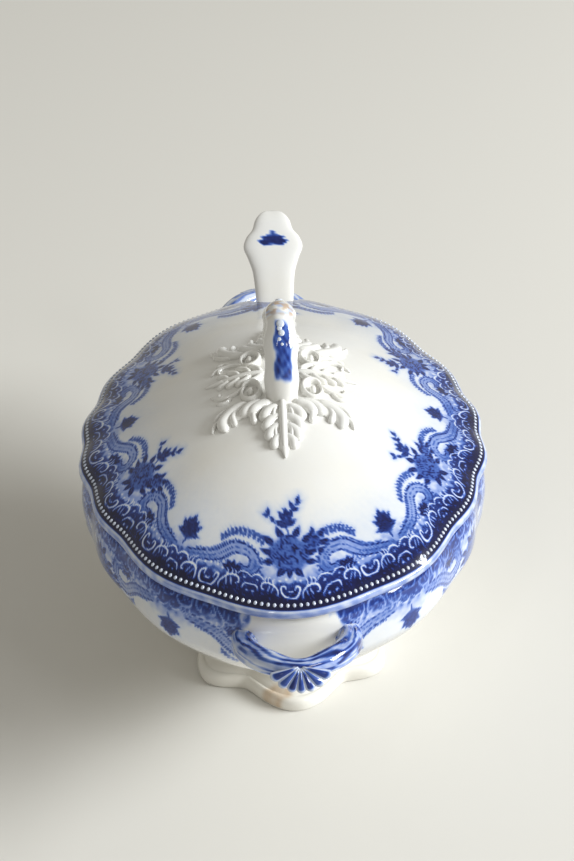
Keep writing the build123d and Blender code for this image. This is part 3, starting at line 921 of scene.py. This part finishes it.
# ---- finial ----
def build_finial():
    span, sides = 15.5, 56
    centres = path([
        (0, -span, 110.4), (0, -span, 118), (0, -10.5, 132), (0, 0, finial_high - 4.2),
        (0, 10.5, 132), (0, span, 118), (0, span, 110.4)], 140)
    forward = np.gradient(centres, axis=0)
    forward /= np.linalg.norm(forward, axis=1, keepdims=True)
    across = np.tile((1.0, 0.0, 0.0), (len(centres), 1))
    outward = np.cross(forward, across)
    outward *= np.sign(np.sum(outward * (centres - (0, 0, 116)), axis=1))[:, None]
    t = np.linspace(-1, 1, len(centres))
    wide = 4.7 + 1.1 * smooth(0.08, 0.40, np.abs(t)) + 0.25 * np.cos(t * 17)
    deep = 4.0 - 0.35 * (1 - smooth(0.05, 0.2, np.abs(t))) + 0.7 * smooth(0.75, 1.0, np.abs(t))
    # a sunk panel on the outer face, between two rounded edges
    panel = lambda a: 1 + 0.05 * np.cos(4 * a) - 0.10 * np.exp(-((a - np.pi / 2) / 0.42) ** 2)
    points, faces = swept(centres, across, outward, wide, deep, sides, panel)
    angle = np.tile(np.linspace(0, 2 * np.pi, sides, endpoint=False), len(centres))
    place = np.repeat(t, sides)
    lumps = 1 + 0.035 * (speckle(place * 38, angle * 4, 33, 1.4) - 0.5) * (np.abs(place) < 0.5)
    middle = np.repeat(centres, sides, axis=0)
    points[1:-1] = middle + (points[1:-1] - middle) * lumps[:, None]
    ragged = 0.10 * (speckle(place * 30, angle * 4, 31, 1.0) - 0.5)
    facing = np.sin(angle + 0.15) + ragged
    ink = smooth(0.78, 0.90, facing) * (0.44 + 0.46 * speckle(place * 30, angle * 16, 32, 0.7))
    ink *= smooth(0.14, 0.20, np.abs(place) + ragged * 0.4)
    ink *= 1 - smooth(0.68, 0.74, np.abs(place) + ragged * 0.5)
    crown = 1 - smooth(0.05, 0.15, np.abs(place))
    ink = np.maximum(ink, 0.16 * crown * smooth(0.3, 0.6, speckle(place * 40, angle * 3, 36, 0.8)))
    worn = 0.8 * crown * smooth(0.52, 0.68, speckle(place * 60, angle * 3, 37, 0.7)) * (np.sin(angle) > 0.2)
    finial = make_object("finial_loop", points, faces)
    set_attribute(finial, "ink", bare_ends(ink))
    set_attribute(finial, "stain", bare_ends(worn))
    finish_piece(finial, "lid", ("lid_finial",), "finial_glaze")
    # graded row of raised beads down the painted face of each leg
    parts = []
    for end in (-1, 1):
        for share, size in ((0.18, 1.5), (0.235, 1.0), (0.28, 1.2), (0.33, 0.8), (0.375, 0.7)):
            k = int((1 + end * share) / 2 * (len(centres) - 1))
            normal, ahead = outward[k], forward[k]
            spot = centres[k] + normal * deep[k] * 0.90 + (0.5 * math.sin(share * 70), 0, 0)
            axes = np.array([across[k], ahead, normal])
            parts.append(ball(spot, axes, (size, size * 1.1, size * 0.45), 8, 16))
    beads = join_parts("finial_beads", parts)
    set_attribute(beads, "ink", np.full(len(beads.data.vertices), 0.10))
    return finish_piece(beads, "lid", ("lid_finial",), "finial_glaze")


# ---- raised leaves round the finial ----
def vein(points, wide, high, count=14, tip=0.25, sink=0.15):
    """Tapered ridge lying on the lid, through the given points of its plan."""
    plan = path(points, count)
    height = lid_surface(plan[:, 0], plan[:, 1]) + high * 0.35 - sink
    centres = np.column_stack([plan, height])
    t = np.linspace(0, 1, count)
    profile = np.sqrt(np.clip(1 - (2 * t - 1) ** 4, 0.02, 1)) * (1 - (1 - tip) * t)
    across, normals = rod_frames(centres, np.tile((0.0, 0.0, 1.0), (count, 1)))
    return swept(centres, across, normals, wide / 2 * profile, high * profile, 12)


def volute(cx, cy, rx, ry, wide, high):
    """Raised oval ring with a bead in it."""
    turns = np.linspace(0.6, 2 * math.pi + 0.9, 22)
    tighten = np.linspace(1.0, 0.80, 22)
    outer = [(cx + rx * k * math.cos(a), cy + ry * k * math.sin(a)) for a, k in zip(turns, tighten)]
    bead = [(cx, cy - ry * 0.34), (cx, cy), (cx, cy + ry * 0.34)]
    return [vein(outer, wide, high, 44, 0.7), vein(bead, rx * 0.62, high * 0.7, 10, 1.0)]


def mirrored(parts):
    """The parts and their mirror images across the long axis."""
    out = []
    for points, faces in parts:
        out += [(points, faces), (points * (-1, 1, 1), [face[::-1] for face in faces])]
    return out


def build_end_leaf(side):
    """Acanthus leaf that runs down the lid towards one handle, with curling leaves beside it."""
    name = "front_leaf" if side < 0 else "back_leaf"
    parts = [
        vein([(0, -17), (0, -28), (0, -42)], 3.4, 2.3, 26, 0.9),
        vein([(0, -35), (0, -40), (0.3, -46)], 5.0, 1.8, 16, 0.25),
        vein([(0, -17), (0, -28), (0, -43)], 11.5, 1.3, 30, 0.5),
    ]
    halves = [vein([(3, -17), (10, -19.5), (17, -22.0), (21.5, -27)], 7.5, 1.1, 26, 0.7)]
    for points, wide, high in (
        ([(1.0, -21.5), (4.6, -23.0), (7.4, -28.0)], 4.2, 1.9),
        ([(0.8, -25.5), (4.4, -28.0), (6.6, -33.0)], 4.0, 1.8),
        ([(0.8, -30.0), (3.8, -32.5), (5.6, -37.5)], 3.8, 1.7),
        ([(0.6, -34.5), (2.8, -37.0), (3.8, -41.5)], 3.2, 1.5),
        ([(2.0, -20.5), (3.2, -25.0), (3.4, -29.5)], 1.8, 1.7),
        ([(2.0, -29.0), (2.9, -33.0), (2.8, -37.0)], 1.7, 1.6),
        ([(4.0, -18.5), (8.6, -20.0), (11.8, -24.8)], 4.2, 1.8),
        ([(6.4, -18.0), (11.5, -19.4), (14.8, -24.0)], 4.0, 1.8),
        ([(9.5, -20.6), (10.6, -25.0), (10.2, -28.6)], 2.4, 1.6),
        ([(12.5, -16.5), (18.0, -19.5), (21.6, -25.0), (20.6, -29.2)], 4.2, 1.7),
        ([(16.5, -19.0), (18.0, -23.5), (17.0, -27.5)], 2.4, 1.5),
        ([(17.5, -17.5), (21.5, -18.8), (25.0, -22.5)], 1.6, 1.2),
        ([(21.6, -21.5), (24.6, -24.5), (25.6, -28.0)], 1.5, 1.1),
    ):
        halves.append(vein(points, wide, high, 16, 1.25))
    halves += volute(11.4, -11.0, 3.9, 5.6, 2.3, 2.2)
    parts += mirrored(halves)
    parts = [(points if side < 0 else points * (-1, -1, 1), faces) for points, faces in parts]
    obj = join_parts(name + "_relief", parts)
    return finish_piece(obj, "lid", (name,), "relief_glaze")


def build_side_leaf(side):
    """Leafy scroll on one flank of the finial."""
    name = "left_leaf" if side < 0 else "right_leaf"
    parts = [
        vein([(5, 0), (14, 0), (24.0, 0)], 3.0, 1.7, 20, 0.7),
        vein([(20, 0), (24, 0), (28.2, 0)], 3.4, 1.5, 14, 0.25),
    ]
    for flip in (-1, 1):
        for points, wide, high in (
            ([(7.0, 0.8), (8.6, 3.4), (12.2, 5.6)], 2.4, 1.6),
            ([(11.0, 0.8), (13.0, 3.6), (16.8, 5.6)], 2.4, 1.6),
            ([(15.0, 0.8), (17.0, 3.2), (20.4, 4.8)], 2.2, 1.5),
            ([(19.0, 0.7), (20.8, 2.6), (23.6, 3.8)], 2.0, 1.4),
            ([(12.6, 5.9), (17.0, 10.0), (22.5, 10.4), (26.0, 7.6)], 1.6, 1.1),
            ([(18.0, 10.6), (20.6, 13.4), (24.0, 13.0)], 1.4, 1.0),
            ([(21.0, 10.8), (23.0, 9.0), (22.6, 7.0)], 1.4, 1.0),
        ):
            parts.append(vein([(x, y * flip) for x, y in points], wide, high, 14, 1.1))
    parts = [(points * (side, side, 1), faces) for points, faces in parts]
    obj = join_parts(name + "_relief", parts)
    return finish_piece(obj, "lid", (name,), "relief_glaze")


# ---- ladle ----
def build_cup():
    low, high = (np.array(corner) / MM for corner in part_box("ladle_bowl"))
    centre_y, radius = (low[1] + high[1]) / 2, (high[1] - low[1]) / 2
    depth, rim = high[2] - low[2], high[2]
    turn = np.linspace(0, 2 * np.pi, 96, endpoint=False)
    circle = np.stack([np.cos(turn), np.sin(turn), np.zeros(96)], 1)
    centre = np.array([0, centre_y, 0])
    rings = [np.array([[0, centre_y, low[2]]])]
    for a in np.linspace(6, 88, 20):
        a = math.radians(a)
        rings.append(centre + circle * radius * math.sin(a) + (0, 0, rim - depth * math.cos(a)))
    for inset, height in ((0.1, -0.3), (0.6, 0), (1.8, 0), (2.6, -0.4)):
        rings.append(centre + circle * (radius - inset) + (0, 0, rim + height))
    for a in np.linspace(84, 6, 18):
        a = math.radians(a)
        drop = (depth - cup_wall) * math.cos(a)
        rings.append(centre + circle * (radius - cup_wall) * math.sin(a) + (0, 0, rim - drop))
    rings.append(np.array([[0, centre_y, low[2] + cup_wall]]))
    return finish_piece(skin("ladle_cup", rings), "ladle", ("ladle_bowl",), "ladle_glaze")


def build_blade():
    # along Y and Z: from the cup up through the notch, where the length is counted from
    in_notch = (95.0, 84.0)
    side = np.array([
        (35.4, 37.4), (42.0, 45.6), (62.0, 59.8), (80.0, 72.2), in_notch, (118.0, 102.6), (130.0, 112.4)])
    line = path(side, 150)
    length = run_length(np.hypot(*np.diff(line, axis=0).T))
    s = length - length[np.argmin(np.hypot(*(line - in_notch).T))]
    # length past the notch and half width there
    front = np.array([
        (-80, 4.6), (-60, 5.3), (-36, 6.0), (-16, 6.8), (0, 7.4), (17, 8.6), (23.5, 10.4), (29.0, 12.2),
        (33, 11.0), (36.5, 8.4), (40.5, 7.2), (43.4, 5.2), (44.8, 3.2), (45.6, 1.2)])
    wide = curve(s, front[:, 0], front[:, 1])
    thick = 2.5 * np.sqrt(np.clip((s[-1] + 0.4 - s) / 5.0, 0.05, 1)) * (1 - 0.12 * smooth(0, 40, s))
    centres = np.column_stack([np.zeros(len(line)), line])
    across, normals = rod_frames(centres, np.tile((0.0, -0.6, 0.8), (len(centres), 1)))
    turn = np.linspace(0, 2 * np.pi, 64, endpoint=False)
    rings = []
    for c, a, n, w, h, place in zip(centres, across, normals, wide, thick, s):
        x = np.sign(np.cos(turn)) * np.abs(np.cos(turn)) ** 0.72
        y = np.sign(np.sin(turn)) * np.abs(np.sin(turn)) ** 0.85
        dish = -0.35 * (1 - x ** 2) * smooth(-10, 5, place) * (np.sin(turn) > 0)
        rings.append(c + np.outer(x * w, a) + np.outer(y * h + dish, n))
    rings = [centres[:1]] + rings + [centres[-1:] + (centres[-1] - centres[-2]) * 0.5]
    blade = make_object("ladle_blade", np.vstack(rings), skin_faces([len(r) for r in rings]))
    x = np.tile(turn, len(s))
    px = np.repeat(wide, 64) * np.cos(x)
    ps = np.repeat(s, 64)
    motif = Print(px * np.where(np.sin(x) > 0, 1, 50) + np.where(np.sin(x) > 0, 0, 300), ps)
    for lean, size in ((0.30, 4.6), (0.85, 4.8), (1.57, 5.8), (2.29, 4.8), (2.84, 4.6)):
        motif.leaf(0.3 * math.cos(lean), 29.6, size, 3.4, lean, 0.9)
    motif.dot(0, 31.2, 2.6, 1.9, 0, 0.85)
    set_attribute(blade, "ink", bare_ends(motif.ink))
    return finish_piece(blade, "ladle", ("ladle_handle",), "ladle_glaze")


build_lid()
build_beads()
build_bowl()
build_foot()
for end in (-1, 1):
    build_handle(end)
    build_shell(end)
    build_end_leaf(end)
    build_side_leaf(end)
build_finial()
build_cup()
build_blade()

# ---- floor ----
bpy.ops.mesh.primitive_plane_add(size=6, location=(0, 0, 0))
floor = bpy.context.object
floor.name = "floor"
floor_paint = bpy.data.materials.new("floor")
floor_paint.use_nodes = True
matt = floor_paint.node_tree.nodes["Principled BSDF"]
matt.inputs["Base Color"].default_value = (0.70, 0.685, 0.645, 1)
matt.inputs["Roughness"].default_value = 0.9
floor.data.materials.append(floor_paint)

# ---- light ----
world = bpy.data.worlds.new("room")
bpy.context.scene.world = world
world.use_nodes = True
sky = world.node_tree.nodes["Background"]
sky.inputs["Color"].default_value = (1.0, 0.965, 0.87, 1)
sky.inputs["Strength"].default_value = 0.37


def window(name, place, size, power, colour=(1, 1, 1), aim=(0, 0, 0.06)):
    """Soft rectangular light that faces the object."""
    data = bpy.data.lights.new(name, "AREA")
    data.shape, data.size, data.size_y = "RECTANGLE", *size
    data.energy, data.color = power, colour
    obj = bpy.data.objects.new(name, data)
    bpy.context.collection.objects.link(obj)
    obj.location = place
    obj.rotation_euler = (Vector(aim) - Vector(place)).to_track_quat("-Z", "Y").to_euler()


window("window_right", (1.945, -0.293, 1.046), (1.45, 0.66), 72, (0.955, 0.985, 1.0))
window("window_front", (0.94, -1.08, 1.13), (0.3, 0.2), 2.0, (1.0, 1.0, 1.0))
window("window_left", (-0.45, -1.08, 1.30), (0.10, 0.40), 1.0, (1.0, 1.0, 1.0))
bpy.context.scene.view_settings.view_transform = "Standard"

# ---- camera: a long lens that looks down the long axis from the front handle ----
elevation, turn, roll = math.radians(32.9), math.radians(1.19), math.radians(-1.09)
distance, lens = 0.862, 95.624
rim_height = 0.084
centre = Vector((-0.0019, -0.0060, 0))
camera_data = bpy.data.cameras.new("camera")
camera = bpy.data.objects.new("camera", camera_data)
bpy.context.collection.objects.link(camera)
camera_data.sensor_width = 36.0
camera_data.lens = lens
into_row = Matrix.Rotation(-turn, 4, "Z")
target = into_row @ (-centre) + Vector((0, 0, rim_height))
place = into_row @ (Vector((0, -math.cos(elevation), math.sin(elevation))) * distance - centre)
camera.location = place + Vector((0, 0, rim_height))
look = (target - camera.location).to_track_quat("-Z", "Y").to_matrix().to_4x4()
camera.rotation_euler = (look @ Matrix.Rotation(roll, 4, "Z")).to_euler()
bpy.context.scene.camera = camera
